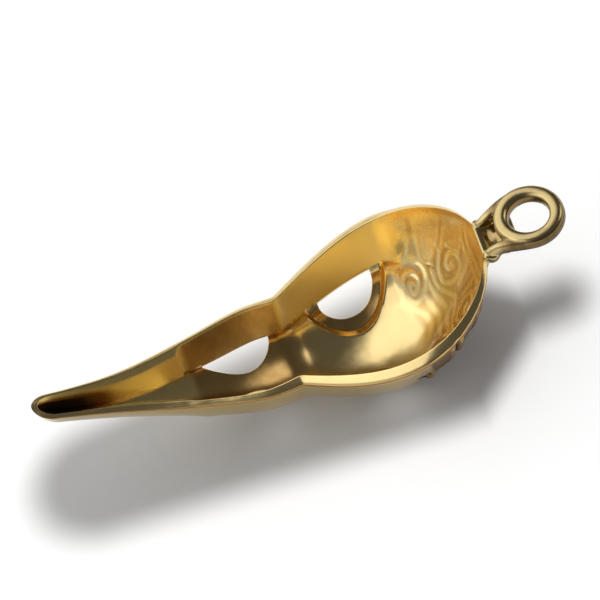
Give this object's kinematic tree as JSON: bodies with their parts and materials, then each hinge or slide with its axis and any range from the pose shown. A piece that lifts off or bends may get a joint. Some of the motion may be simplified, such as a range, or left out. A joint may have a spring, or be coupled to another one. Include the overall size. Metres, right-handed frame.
{
  "type": "bird skull mask charm",
  "caption": "Hollow-backed bird skull mask charm with half-moon eye and nostril openings, scrollwork behind the eyes and a hanging ring.",
  "frame": {"origin": "middle of the ring hole", "axes": "-X along the beak to its tip, +Y across the face, +Z out of the open back along the ring hole"},
  "size_m": [0.0454, 0.016, 0.011],
  "materials": {
    "gold_plate": "bright gold plating on a polished casting",
    "antiqued_gold": "bright gold plating with dark antiquing left in the grooves"
  },
  "bodies": {
    "root": {"beak": "gold_plate", "nose_bridge": "gold_plate", "nostril_wall_left": "gold_plate", "nostril_wall_right": "gold_plate", "brow_wall_left": "gold_plate", "brow_wall_right": "gold_plate", "eye_socket_left": "antiqued_gold", "eye_socket_right": "antiqued_gold", "crown": "gold_plate", "scroll_panel_left": "antiqued_gold", "scroll_panel_right": "antiqued_gold", "neck_collar": "gold_plate", "hanging_ring": "gold_plate"}
  },
  "joints": []
}
